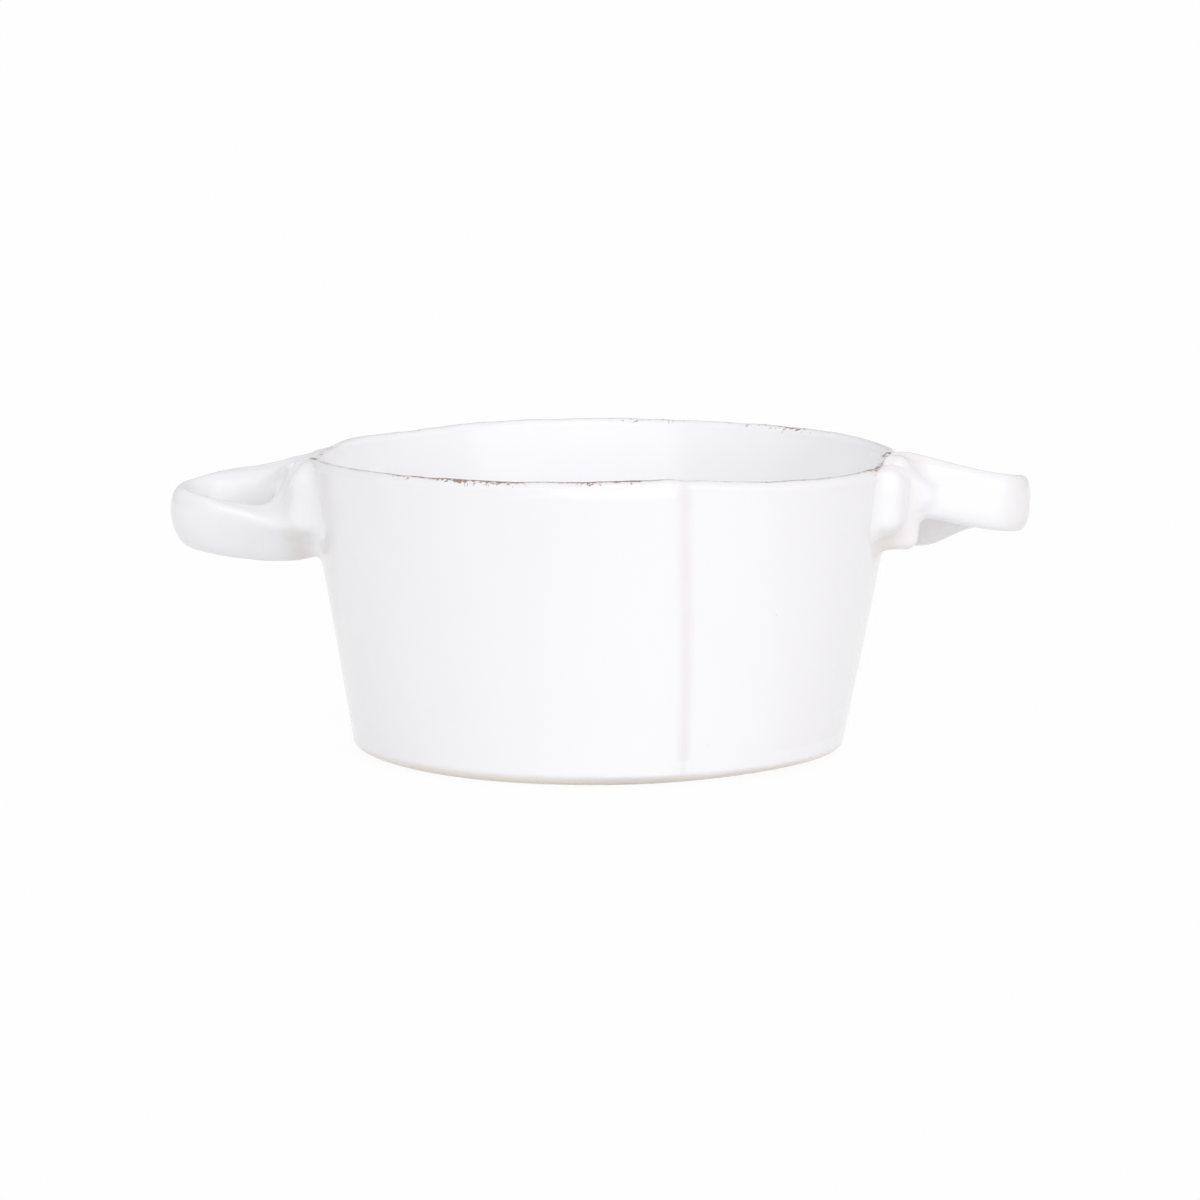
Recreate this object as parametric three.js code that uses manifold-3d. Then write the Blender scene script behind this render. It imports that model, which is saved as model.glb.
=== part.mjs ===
// A slab-built stoneware bowl with two loop handles, in millimetres, +Z up.
// The origin is the middle of the foot. The handles lie along X, and the front is -Y.
// A tapered wall slab, lapped on itself, stands on a floor disc. A clay coil seals the inside
// corner, a strap bent into a loop makes each handle, and a short upright coil is pressed into
// the corner on each side of each handle.
import * as THREE from "three";
import { mergeVertices } from "three/addons/utils/BufferGeometryUtils.js";
import Module from "manifold-3d";

const wasm = await Module();
wasm.setup();

const degrees = THREE.MathUtils.degToRad;
const { lerp, smoothstep } = THREE.MathUtils;

// Bowl
const BOWL_HEIGHT = 75;
const RIM_RADIUS = 75; // outside of the wall, at the rim
const WALL_TAPER = degrees(10.5); // lean of the wall from upright
const WALL_THICKNESS = 4.6;
const RIM_ROUNDING = 1.9; // radius of both edges of the rim
const FLOOR_THICKNESS = 6;
const FOOT_ROUNDING = 4; // radius under the edge of the floor disc
const CORNER_COIL_LEG = 6; // reach of the inside coil along the wall and along the floor
const JOINT_GAP = 0.3; // slip layer between two clay pieces

// Lap of the wall slab, seen as an upright step on the outside
const LAP_STEP = 1.3; // how far the outer end of the slab stands proud
const LAP_FADE = 46; // length along the wall over which the outer end sinks back
const LAP_EDGE = 3.4; // width of the rounded edge of the step
const LAP_ANGLE = degrees(19.9); // at the rim, from the front towards +X
const LAP_LEAN = degrees(2.7); // further towards +X at the foot

// Hand-cut rim, with two low and two high places and a rise where the slab is lapped
const RIM_WAVE = 0.7; // height of a high place above the mean
const RIM_WAVE_ANGLE = degrees(-13.5); // of the first high place, from the front towards +X
const LAP_RISE = 0.9; // extra height of the outer end of the slab

// Handles
const HANDLE_REACH = 35.3; // from the wall to the tip
const LOOP_WIDTH = 31; // outside, across both arms
const LOOP_SQUARENESS = 2.5; // 2 is an ellipse, more is squarer
const STRAP_HEIGHT = 14.4;
const STRAP_THICKNESS = 6.4;
const ROOT_THICKNESS = 10; // where both strap ends lie on the wall
const ROOT_SEAT = 4; // from the wall's face to the strap's middle, at the root
const ROOT_ROLL = degrees(26.5); // twist of the loop about its length, at the wall
const PAD_WIDTH = 30; // flattened strap ends on the wall
const PAD_HEIGHT = 21;
const PAD_DROP = 2.6; // from the rim to the top of the pad
const PAD_DEPTH = 6; // from the wall's face
const PAD_CORNER = 8;
const PAD_EDGE = 2.4;
const TIP_ROLL = degrees(6.5); // twist that is left at the tip
const RIGHT_ROOT_DROP = 11.5; // from the rim to the middle of the strap, at the wall
const RIGHT_TIP_DROP = 12.4;
const RIGHT_SAG = 0.1; // further down, half-way along
const RIGHT_SQUARENESS = 3.2; // of the strap's section: the edges are sharper on this handle
const LEFT_ROOT_DROP = 15.5;
const LEFT_TIP_DROP = 14.8;
const LEFT_SAG = 0.8;
const LEFT_SQUARENESS = 2.5;

// Upright coils beside the handles
const COIL_RADIUS = 4.8;
const COIL_LENGTH = 15;
const COIL_DROP = 3.6; // from the rim to the top of the coil
const COIL_BITE = 0.4; // how far the coil is pressed into the side of the pad
const COIL_SEAT = 0.2; // from the wall's face to the coil's axis

const HANDLES = [
  {
    name: "right",
    turn: 0,
    rootDrop: RIGHT_ROOT_DROP,
    tipDrop: RIGHT_TIP_DROP,
    sag: RIGHT_SAG,
    squareness: RIGHT_SQUARENESS,
  },
  {
    name: "left",
    turn: Math.PI,
    rootDrop: LEFT_ROOT_DROP,
    tipDrop: LEFT_TIP_DROP,
    sag: LEFT_SAG,
    squareness: LEFT_SQUARENESS,
  },
];

// Facets
const WALL_STEPS = 72;
const LAP_STEPS = 8;
const RIM_STEPS = 4;
const LOOP_STEPS = 48;
const STRAP_STEPS = 18;
const ROUND_STEPS = 6;

// Glazes
const whiteGlaze = new THREE.MeshStandardMaterial({ color: 0xf3f2f2, roughness: 0.16, metalness: 0 });
const thinGlaze = new THREE.MeshStandardMaterial({ color: 0xece5da, roughness: 0.34, metalness: 0 });

// Solids to and from triangle meshes

function solidOf(geometry) {
  const bare = new THREE.BufferGeometry();
  bare.setAttribute("position", geometry.getAttribute("position"));
  bare.setIndex(geometry.getIndex());
  const merged = mergeVertices(bare, 1e-4);
  return new wasm.Manifold(
    new wasm.Mesh({
      numProp: 3,
      vertProperties: new Float32Array(merged.getAttribute("position").array),
      triVerts: new Uint32Array(merged.getIndex().array),
    }),
  );
}

function geometryOf(solid) {
  const mesh = solid.getMesh();
  const geometry = new THREE.BufferGeometry();
  geometry.setAttribute("position", new THREE.BufferAttribute(new Float32Array(mesh.vertProperties), 3));
  geometry.setIndex(new THREE.BufferAttribute(new Uint32Array(mesh.triVerts), 1));
  geometry.computeVertexNormals();
  return geometry;
}

// Closed skin over rings of points, each ring joined to the next and the last to the first.
function ringLoft(rings) {
  const sides = rings[0].length;
  const positions = rings.flat().flatMap((point) => point.toArray());
  const index = [];
  rings.forEach((ring, i) => {
    const here = i * sides;
    const next = ((i + 1) % rings.length) * sides;
    ring.forEach((point, j) => {
      const k = (j + 1) % sides;
      index.push(here + j, next + j, next + k, here + j, next + k, here + k);
    });
  });
  const geometry = new THREE.BufferGeometry();
  geometry.setAttribute("position", new THREE.Float32BufferAttribute(positions, 3));
  geometry.setIndex(index);
  geometry.computeVertexNormals();
  return geometry;
}

function turned(profile) {
  const geometry = new THREE.LatheGeometry(profile, WALL_STEPS);
  geometry.rotateX(Math.PI / 2);
  return geometry;
}

// Wall

function coneRadius(z) {
  return RIM_RADIUS - (BOWL_HEIGHT - z) * Math.tan(WALL_TAPER);
}

const wallAcross = WALL_THICKNESS / Math.cos(WALL_TAPER); // thickness measured level

// Share of the lap, 0 at its end, 1 past the rounded edge and 0 again where it has sunk back.
function lapShare(pastLap) {
  const edge = LAP_EDGE / RIM_RADIUS;
  const fade = LAP_FADE / RIM_RADIUS;
  const back = ((-pastLap % (2 * Math.PI)) + 2 * Math.PI) % (2 * Math.PI);
  const rise = Math.sqrt(Math.max(0, 1 - Math.max(0, 1 - back / edge) ** 2));
  return rise * (1 - smoothstep(back, edge, edge + fade));
}

function rimHeight(pastLap) {
  const wave = RIM_WAVE * Math.cos(2 * (pastLap + LAP_ANGLE - RIM_WAVE_ANGLE));
  return BOWL_HEIGHT + wave + LAP_RISE * lapShare(pastLap);
}

function lapAngle(z) {
  return LAP_ANGLE + LAP_LEAN * (1 - z / BOWL_HEIGHT);
}

// A point at an angle from the front towards +X
function polar(radius, angle, z) {
  return new THREE.Vector3(radius * Math.sin(angle), -radius * Math.cos(angle), z);
}

// Angles past the lap, close together over the rounded edge of the step
function lapStations() {
  const edge = LAP_EDGE / RIM_RADIUS;
  const near = Array.from({ length: LAP_STEPS }, (_, i) => -edge * (1 - Math.cos((i / LAP_STEPS) * (Math.PI / 2))));
  const far = Array.from({ length: WALL_STEPS }, (_, i) => -lerp(edge, 2 * Math.PI - edge / LAP_STEPS, i / (WALL_STEPS - 1)));
  return [...near, ...far].reverse();
}

function wallProfile(pastLap) {
  const proud = LAP_STEP * lapShare(pastLap);
  const rimTop = rimHeight(pastLap);
  const outer = (z) => ({ radius: coneRadius(z) + proud, z });
  const inner = (z) => ({ radius: coneRadius(z) - wallAcross, z });
  const shoulder = rimTop - RIM_ROUNDING;
  const rimEdge = (edge, side) =>
    Array.from({ length: RIM_STEPS }, (_, i) => {
      const around = ((i + 1) / (RIM_STEPS + 1)) * (Math.PI / 2);
      return {
        radius: edge.radius - side * RIM_ROUNDING * (1 - Math.cos(around)),
        z: shoulder + RIM_ROUNDING * Math.sin(around),
      };
    });
  const outerTop = outer(shoulder);
  const innerTop = inner(shoulder);
  const middle = (FLOOR_THICKNESS + shoulder) / 2;
  return [
    outer(FLOOR_THICKNESS),
    outer(middle),
    outerTop,
    ...rimEdge(outerTop, 1),
    ...rimEdge(innerTop, -1).reverse(),
    innerTop,
    inner(middle),
    inner(FLOOR_THICKNESS),
  ];
}

function wallSlab() {
  const rings = lapStations().map((pastLap) =>
    wallProfile(pastLap).map(({ radius, z }) => polar(radius, pastLap + lapAngle(z), z)),
  );
  return ringLoft(rings);
}

// Everything inside the wall's outer face and the slip layer on it, for cutting what sits on the wall
function wallCore() {
  const below = 0;
  const above = BOWL_HEIGHT + STRAP_HEIGHT;
  const rings = lapStations().map((pastLap) => {
    const radius = (z) => coneRadius(z) + LAP_STEP * lapShare(pastLap) + JOINT_GAP;
    return [below, above].map((z) => polar(radius(z), pastLap + lapAngle(z), z));
  });
  const sides = rings.length;
  const positions = rings.flat().flatMap((point) => point.toArray());
  positions.push(0, 0, below, 0, 0, above);
  const index = [];
  for (let i = 0; i < sides; i++) {
    const here = 2 * i;
    const next = 2 * ((i + 1) % sides);
    index.push(here, next, next + 1, here, next + 1, here + 1);
    index.push(2 * sides, next, here, 2 * sides + 1, here + 1, next + 1);
  }
  const geometry = new THREE.BufferGeometry();
  geometry.setAttribute("position", new THREE.Float32BufferAttribute(positions, 3));
  geometry.setIndex(index);
  return solidOf(geometry);
}

// Floor

function floorDisc() {
  const edge = Math.min(FOOT_ROUNDING, FLOOR_THICKNESS);
  const foot = coneRadius(edge);
  const profile = [new THREE.Vector2(0, 0)];
  for (let i = 0; i <= ROUND_STEPS; i++) {
    const around = (i / ROUND_STEPS) * (Math.PI / 2 - WALL_TAPER);
    profile.push(new THREE.Vector2(foot - edge * (1 - Math.sin(around)), edge * (1 - Math.cos(around))));
  }
  profile.push(new THREE.Vector2(coneRadius(FLOOR_THICKNESS), FLOOR_THICKNESS), new THREE.Vector2(0, FLOOR_THICKNESS));
  return turned(profile);
}

function cornerCoil() {
  const outer = (z) => coneRadius(z) - wallAcross - JOINT_GAP;
  const low = FLOOR_THICKNESS;
  const high = FLOOR_THICKNESS + CORNER_COIL_LEG;
  const start = new THREE.Vector2(outer(low) - CORNER_COIL_LEG, low);
  const end = new THREE.Vector2(outer(high), high);
  const face = new THREE.QuadraticBezierCurve(start, new THREE.Vector2(outer(low), low), end);
  const hollow = face.getPoints(ROUND_STEPS);
  const profile = [new THREE.Vector2(outer(low), low), ...hollow.reverse(), new THREE.Vector2(outer(low), low)];
  return turned(profile);
}

// Handles

const rootFace = coneRadius(BOWL_HEIGHT - PAD_DROP - PAD_HEIGHT / 2);
const loopRoot = rootFace + ROOT_SEAT;
const loopTip = rootFace + HANDLE_REACH - STRAP_THICKNESS / 2;

function squaredWave(value, squareness) {
  return Math.sign(value) * Math.abs(value) ** (2 / squareness);
}

// Middle line of the strap in the loop's own plane: out is away from the wall, side is across.
function loopLine(turn) {
  const halfLength = (loopTip - loopRoot) / 2;
  const halfWidth = (LOOP_WIDTH - STRAP_THICKNESS) / 2;
  return new THREE.Vector2(
    loopRoot + halfLength * (1 + squaredWave(Math.cos(turn), LOOP_SQUARENESS)),
    halfWidth * squaredWave(Math.sin(turn), LOOP_SQUARENESS),
  );
}

// Turns a point of the level loop about the loop's length, more at the wall than at the tip.
function rolled(out, side, up, { rootDrop, tipDrop, sag }) {
  const share = smoothstep(out, loopRoot, loopTip);
  const roll = lerp(ROOT_ROLL, TIP_ROLL, share);
  const drop = lerp(rootDrop, tipDrop, share) + sag * Math.sin(Math.PI * share);
  return new THREE.Vector3(
    out,
    side * Math.cos(roll) + up * Math.sin(roll),
    BOWL_HEIGHT - drop - side * Math.sin(roll) + up * Math.cos(roll),
  );
}

function strapLoop(handle, grow) {
  const rings = [];
  for (let i = 0; i < LOOP_STEPS; i++) {
    const turn = ((i + 0.5) / LOOP_STEPS) * 2 * Math.PI;
    const line = loopLine(turn);
    const ahead = loopLine(turn + 0.01).sub(loopLine(turn - 0.01)).normalize();
    const rootShare = 1 - smoothstep(line.x, loopRoot, lerp(loopRoot, loopTip, 0.45));
    const halfThickness = lerp(STRAP_THICKNESS, ROOT_THICKNESS, rootShare) / 2 + grow;
    const halfHeight = STRAP_HEIGHT / 2 + grow;
    const ring = [];
    for (let j = 0; j < STRAP_STEPS; j++) {
      const around = (j / STRAP_STEPS) * 2 * Math.PI;
      const across = halfThickness * squaredWave(Math.cos(around), handle.squareness);
      const up = halfHeight * squaredWave(Math.sin(around), handle.squareness);
      ring.push(rolled(line.x + ahead.y * across, line.y - ahead.x * across, up, handle));
    }
    rings.push(ring);
  }
  return solidOf(ringLoft(rings));
}

function roundedRectangle(width, height, corner) {
  const x = width / 2;
  const y = height / 2;
  const shape = new THREE.Shape();
  shape.moveTo(x - corner, -y);
  shape.absarc(x - corner, corner - y, corner, -Math.PI / 2, 0);
  shape.absarc(x - corner, y - corner, corner, 0, Math.PI / 2);
  shape.absarc(corner - x, y - corner, corner, Math.PI / 2, Math.PI);
  shape.absarc(corner - x, corner - y, corner, Math.PI, 1.5 * Math.PI);
  return shape;
}

// The flattened strap ends on the wall, as a block that reaches into the wall before it is cut.
function handlePad(grow) {
  const padMiddle = BOWL_HEIGHT - PAD_DROP - PAD_HEIGHT / 2;
  const inside = rootFace - PAD_WIDTH;
  const face = rootFace + PAD_DEPTH + grow;
  const geometry = new THREE.ExtrudeGeometry(
    roundedRectangle(PAD_WIDTH + 2 * (grow - PAD_EDGE), PAD_HEIGHT + 2 * (grow - PAD_EDGE), PAD_CORNER - PAD_EDGE),
    {
      depth: face - inside - 2 * PAD_EDGE,
      bevelThickness: PAD_EDGE,
      bevelSize: PAD_EDGE,
      bevelSegments: 3,
      curveSegments: ROUND_STEPS,
    },
  );
  geometry.rotateX(Math.PI / 2);
  geometry.rotateZ(Math.PI / 2);
  geometry.translate(inside + PAD_EDGE, 0, padMiddle);
  return solidOf(geometry);
}

function handleBlank(handle, grow) {
  return strapLoop(handle, grow).add(handlePad(grow));
}

// Side is 1 on the +Y side of a handle that points along +X, and -1 on the other.
function handleCoil(side) {
  const top = BOWL_HEIGHT - COIL_DROP;
  const middle = top - COIL_LENGTH / 2;
  const radius = coneRadius(middle) + COIL_SEAT;
  const around = side * Math.asin((PAD_WIDTH / 2 + COIL_RADIUS - COIL_BITE) / radius);
  const geometry = new THREE.CapsuleGeometry(COIL_RADIUS, COIL_LENGTH - 2 * COIL_RADIUS, ROUND_STEPS, 2 * ROUND_STEPS);
  geometry.rotateX(Math.PI / 2);
  geometry.rotateY(WALL_TAPER);
  geometry.translate(radius, 0, middle);
  geometry.rotateZ(around);
  return solidOf(geometry);
}

// Assembly

const bowl = new THREE.Group();

function addPiece(name, geometry, material) {
  const mesh = new THREE.Mesh(geometry, material);
  mesh.name = name;
  bowl.add(mesh);
}

addPiece("wall_slab", wallSlab(), whiteGlaze);
addPiece("floor_disc", floorDisc(), thinGlaze);
addPiece("floor_corner_coil", cornerCoil(), whiteGlaze);

const core = wallCore();
for (const handle of HANDLES) {
  const { name, turn } = handle;
  const inPlace = (solid) => {
    const geometry = geometryOf(solid);
    geometry.rotateZ(turn);
    return solidOf(geometry);
  };
  const loop = inPlace(handleBlank(handle, 0)).subtract(core);
  addPiece(`${name}_handle`, geometryOf(loop), whiteGlaze);
  const clearance = inPlace(handleBlank(handle, JOINT_GAP)).add(core);
  for (const side of [-1, 1]) {
    const place = side * Math.cos(turn) < 0 ? "front" : "rear";
    const coil = inPlace(handleCoil(side)).subtract(clearance);
    addPiece(`${name}_${place}_handle_coil`, geometryOf(coil), whiteGlaze);
  }
}

export default bowl;
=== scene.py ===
# A slab-built bowl with two loop handles under a white gloss glaze, worn brown along its rim.
# Shapes are worked out in millimetres in the solids' own frame: +Z up, handles along X, front at -Y.
import math

import bpy
import numpy as np
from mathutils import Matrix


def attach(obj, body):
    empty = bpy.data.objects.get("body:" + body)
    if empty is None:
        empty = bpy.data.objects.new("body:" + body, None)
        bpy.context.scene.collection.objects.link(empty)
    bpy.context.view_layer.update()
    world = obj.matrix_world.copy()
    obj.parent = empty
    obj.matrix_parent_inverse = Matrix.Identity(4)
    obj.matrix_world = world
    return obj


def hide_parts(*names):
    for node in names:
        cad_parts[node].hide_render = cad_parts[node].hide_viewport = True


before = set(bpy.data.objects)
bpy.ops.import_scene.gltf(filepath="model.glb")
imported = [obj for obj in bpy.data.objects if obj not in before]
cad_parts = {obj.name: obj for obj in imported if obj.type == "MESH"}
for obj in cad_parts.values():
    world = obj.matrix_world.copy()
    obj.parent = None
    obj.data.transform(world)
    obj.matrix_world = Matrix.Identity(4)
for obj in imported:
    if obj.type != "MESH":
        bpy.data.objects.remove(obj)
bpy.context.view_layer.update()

MM = 0.001

# Bowl
BOWL_HEIGHT = 75.0
RIM_RADIUS = 75.0
WALL_TAPER = math.radians(10.5)
WALL_THICKNESS = 4.6
WALL_ACROSS = WALL_THICKNESS / math.cos(WALL_TAPER)
RIM_ROUNDING = 1.9
FLOOR_THICKNESS = 6.0
FOOT_ROUNDING = 3.2
FOOT_SHIFT = -0.6
CORNER_COIL_LEG = 6.0
CORNER_COIL_IN_WALL = 0.25
CORNER_COIL_IN_FLOOR = 0.1

# Broader rounding of the foot's edge: middle and width in degrees from the front, added breadth
FOOT_WIDER = [(52.0, 30.0, 5.5), (-62.0, 28.0, 3.0)]

# Unevenness of the hand-made surfaces: depth, length of its waves, and seeds
WALL_SWAY = 0.16
WALL_SWAY_LENGTH = 90.0
FLOOR_SWAY = 0.05
FLOOR_SWAY_LENGTH = 60.0
OUTSIDE_SEED = 4
INSIDE_SEED = 5
FLOOR_SEED = 6
RIM_SEED = 9

# Lap of the wall slab
LAP_STEP = 1.7
LAP_FADE = 46.0
LAP_EDGE = 5.6
LAP_SOFTNESS = 0.6
LAP_ANGLE = math.radians(18.4)
LAP_LEAN = math.radians(4.4)

# Hand-cut rim
RIM_WAVE = 0.7
RIM_WAVE_ANGLE = math.radians(-13.5)
LAP_RISE = 0.35
RIM_RIPPLE = 0.13
RIM_RIPPLE_LENGTH = 40.0

# Dips in the rim: middle and width in degrees from the front, depth
RIM_DIPS = [
    (55.0, 30.0, 1.1),
    (17.0, 10.0, -0.6),
    (-20.0, 35.0, 0.6),
    (-94.0, 11.0, 2.2),
    (-107.5, 5.0, 0.6),
    (-133.0, 10.0, 0.45),
    (158.0, 22.0, 0.45),
]

# Bare clay on the rim: middle and width in degrees from the front,
# distance out from the crest and width, depth
RIM_WEAR = [
    (0.0, 105.0, 0.1, 0.55, 0.95),
    (17.0, 6.0, 0.1, 0.8, -0.4),
    (-34.0, 6.0, 0.9, 1.2, 0.38),
    (-27.0, 4.0, 1.1, 1.3, 0.42),
    (-20.0, 5.0, 1.0, 1.3, 0.4),
    (-14.0, 4.0, 1.0, 1.3, 0.4),
    (0.5, 5.0, 0.9, 1.2, 0.5),
    (7.0, 4.0, 0.7, 1.0, 0.3),
    (34.0, 2.5, 0.4, 0.7, 0.25),
    (-87.5, 3.0, 0.0, 1.0, 0.5),
    (-83.0, 4.0, 0.2, 1.2, 0.6),
    (-77.5, 3.0, 0.1, 0.9, 0.5),
    (91.0, 3.0, -1.5, 0.8, 0.55),
    (85.0, 3.5, -0.9, 0.8, 0.5),
    (79.0, 3.5, -0.2, 0.9, 0.45),
    (72.5, 3.0, 0.9, 1.2, 0.5),
    (68.5, 2.0, 1.4, 1.2, 0.4),
    (93.0, 1.4, 0.7, 1.8, 0.75),
    (171.0, 7.0, -0.6, 1.6, 0.35),
    (139.0, 12.0, -0.6, 1.6, 0.4),
    (-150.0, 25.0, -0.4, 1.2, 0.15),
]

# Handles
LOOP_WIDTH = 31.0
LOOP_SQUARENESS = 2.5
ROOT_SEAT = 4.0
PAD_MIDDLE = 61.9
COIL_RADIUS = 3.4
COIL_SWELL = 0.1
COIL_LENGTH = 14.6
COIL_DROP = 3.2
COIL_PLACE = 20.2
COIL_SEAT = 1.6
COIL_LEAN = 0.1
COIL_SPREAD = 0.06
COIL_TAPER = 1.2
PAD_REACH = 15.0
PAD_FALL_REACH = 14.0
ARM_START = 58.0

# Each handle, with the strap's section and height from root to tip, the pad that is pressed on the wall,
# the fill of its corners, painted shade in its corners and painted light inside its loop. Near and far are
# counted from the front of the bowl.
RIGHT_HANDLE = {
    "turn": 1,
    "reach": 34.6,
    "thickness": 6.4,
    "arm_squareness": 2.8,
    "tip_squareness": 2.7,
    "near_lean": 0.0,
    "tip_lean": 0.06,
    "far_lean": 0.0,
    "root_drop": 11.9,
    "tip_drop": 12.7,
    "sag": 0.7,
    "far_drop": 0.0,
    "root_height": 15.6,
    "tip_height": 14.0,
    "root_roll": math.radians(26.5),
    "tip_roll": math.radians(6.5),
    "root_thickness": 6.8,
    "far_trim": 2.9,
    "root_rise": 0.0,
    "pad_width": 32.0,
    "pad_shift": -1.5,
    "pad_depth": [
        (50.0, 5.5),
        (55.5, 6.6),
        (62.0, 7.0),
        (65.0, 9.6),
        (68.0, 9.6),
        (70.5, 6.8),
        (74.0, 4.4),
        (77.0, 3.4),
    ],
    "pad_rounding": 2.4,
    "pad_top": 72.2,
    "pad_slope": -0.24,
    "pad_fall": 0.0,
    "pad_low": 52.4,
    "pad_flare": 0.0,
    "near_fill": 3.0,
    "far_fill": 5.0,
    "low_fill": 3.8,
    "high_fill": 5.5,
    "coil_fill": 5.0,
    "crevice_shade_place": 2.5,
    "crevice_shade_depth": 0.34,
    "shade_depth": 0.2,
    "corner_light": 0.0,
}
LEFT_HANDLE = {
    "turn": -1,
    "reach": 35.3,
    "thickness": 7.8,
    "arm_squareness": 3.8,
    "tip_squareness": 2.0,
    "near_lean": 0.24,
    "tip_lean": 0.13,
    "far_lean": 0.3,
    "root_drop": 15.8,
    "tip_drop": 16.6,
    "sag": 0.0,
    "far_drop": 1.5,
    "root_height": 15.0,
    "tip_height": 15.2,
    "root_roll": math.radians(26.5),
    "tip_roll": math.radians(3.5),
    "root_thickness": 10.0,
    "far_trim": 0.0,
    "root_rise": 1.8,
    "pad_width": 25.0,
    "pad_shift": -5.0,
    "pad_depth": [(50.0, 10.5), (77.0, 10.5)],
    "pad_rounding": 5.5,
    "pad_top": 73.0,
    "pad_slope": 0.0,
    "pad_fall": 0.45,
    "pad_low": 53.0,
    "pad_flare": 0.35,
    "near_fill": 8.0,
    "far_fill": 9.0,
    "low_fill": 2.0,
    "high_fill": 8.0,
    "coil_fill": 6.5,
    "crevice_shade_place": 5.5,
    "crevice_shade_depth": 0.37,
    "shade_depth": 0.0,
    "corner_light": 3.2,
}

# How far slip fills the corner between coil and wall, and how the pieces sink into one another and the wall
FILL_COIL_WALL = 4.5
SINK = 0.3
SINK_REACH = 4.0
SEAT_DEPTH = 2.6
SEAT_ROUNDING = 1.6

# Lowest and highest corner of the space that each field is drawn in, and the spacing of its net
NET_SPACES = {
    "handle": ((60.0, -29.0, 40.0), (110.0, 29.0, 79.0), 0.55),
    -1: ((60.0, -34.0, 46.0), (80.0, -9.0, 78.0), 0.45),
    1: ((60.0, 9.0, 46.0), (80.0, 34.0, 78.0), 0.45),
}

# Painted shade and painted light in the corner between pad and wall, which are full below one height and end
# at another
CORNER_TOP = 59.5
CORNER_FULL = 55.5
CREVICE_SHADE_WIDTH = 3.2
CORNER_LIGHT_PLACE = 0.8
CORNER_LIGHT_WIDTH = 1.6


def smoothstep(low, high, value):
    """0 at low, 1 at high, smooth between."""
    share = np.clip((value - low) / (high - low), 0.0, 1.0)
    return share * share * (3.0 - 2.0 * share)


def between(first, second, share):
    """Value a share of the way from the first to the second."""
    return first + (second - first) * share


def eased(share):
    """0 to 1 at an even rate, with soft ends."""
    share = np.clip(share, 0.0, 1.0)
    return 0.7 * share + 0.3 * share * share * (3.0 - 2.0 * share)


def turned_from(angle, middle):
    """Angle from a place that is given in degrees from the front, the short way round."""
    return (angle - math.radians(middle) + math.pi) % (2.0 * math.pi) - math.pi


def cone_radius(z):
    """Outer radius of the plain wall at a height."""
    return RIM_RADIUS - (BOWL_HEIGHT - z) * math.tan(WALL_TAPER)


# Wall

def lap_profile():
    """Share of the lap by the distance back from its end, with its corners softened by glaze."""
    margin, spacing = 12.0, 0.05
    back = np.arange(-margin, LAP_EDGE + LAP_FADE + margin, spacing)
    rise = np.where(back > 0.0, 1.0 - np.clip(1.0 - back / LAP_EDGE, 0.0, 1.0) ** 2, 0.0)
    share = rise * (1.0 - smoothstep(LAP_EDGE, LAP_EDGE + LAP_FADE, back))
    width = np.arange(-2.0, 2.0, spacing)
    weight = np.exp(-0.5 * (width / LAP_SOFTNESS) ** 2)
    return back, np.convolve(share, weight / weight.sum(), "same")


LAP_BACK, LAP_SHARE = lap_profile()


def behind_lap(past_lap):
    """Distance back from the end of the lap along the rim."""
    back = turned_from(-past_lap, 0.0)
    return np.where(back < -0.5, back + 2.0 * math.pi, back) * RIM_RADIUS


def lap_share(past_lap):
    """Share of the lap at an angle past its end."""
    return np.interp(behind_lap(past_lap), LAP_BACK, LAP_SHARE, left=0.0, right=0.0)


def ripple(seed, angle, z, longest):
    """Slow unevenness of a hand-made wall, between about -1 and 1."""
    draw = np.random.default_rng(seed)
    total = np.zeros(np.broadcast(angle, z).shape)
    for count in range(2, 9):
        along = draw.uniform(-1.0, 1.0) * 2.0 * math.pi / longest
        total = total + np.sin(count * angle + along * z + draw.uniform(0.0, 6.28)) / math.sqrt(count)
    return total / 2.2


def rim_height(past_lap):
    """Height of the rim at an angle past the lap."""
    angle = past_lap + LAP_ANGLE
    wave = RIM_WAVE * np.cos(2.0 * (angle - RIM_WAVE_ANGLE))
    for middle, width, depth in RIM_DIPS:
        away = turned_from(angle, middle)
        wave = wave - depth * np.exp(-(away / math.radians(width)) ** 2)
    return BOWL_HEIGHT + wave + LAP_RISE * lap_share(past_lap)


def lean(z):
    """Sideways shift of the wall, which stands a little off centre on its foot."""
    return FOOT_SHIFT * smoothstep(40.0, 0.0, z)


def lap_angle(z):
    """Angle of the lap's end from the front, which leans a little."""
    return LAP_ANGLE + LAP_LEAN * (1.0 - z / BOWL_HEIGHT)


def wall_stations():
    """Angles past the lap, anticlockwise from above, closer together over the step."""
    fine = np.linspace(-math.pi, math.pi, 4001)
    crowd = 1.0 + 5.0 * np.exp(-((fine * RIM_RADIUS + 1.0) / 5.0) ** 2)
    travel = np.concatenate([[0.0], np.cumsum(0.5 * (crowd[1:] + crowd[:-1]))])
    return np.interp(np.linspace(0.0, travel[-1], 600, endpoint=False), travel, fine)


def beside_handles(angle):
    """0 next to a handle, 1 well away from it."""
    return smoothstep(0.45, 0.75, np.abs(np.cos(angle)))


def outer_radius(past_lap, z, rim_top):
    """Outer radius of the wall with its lap and its unevenness."""
    angle = past_lap + lap_angle(z)
    below = rim_top - z
    step = LAP_STEP * lap_share(past_lap) * smoothstep(0.4, 4.0, below)
    sway = WALL_SWAY * ripple(OUTSIDE_SEED, angle, z, WALL_SWAY_LENGTH) * beside_handles(angle)
    return cone_radius(z) + step + sway


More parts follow.
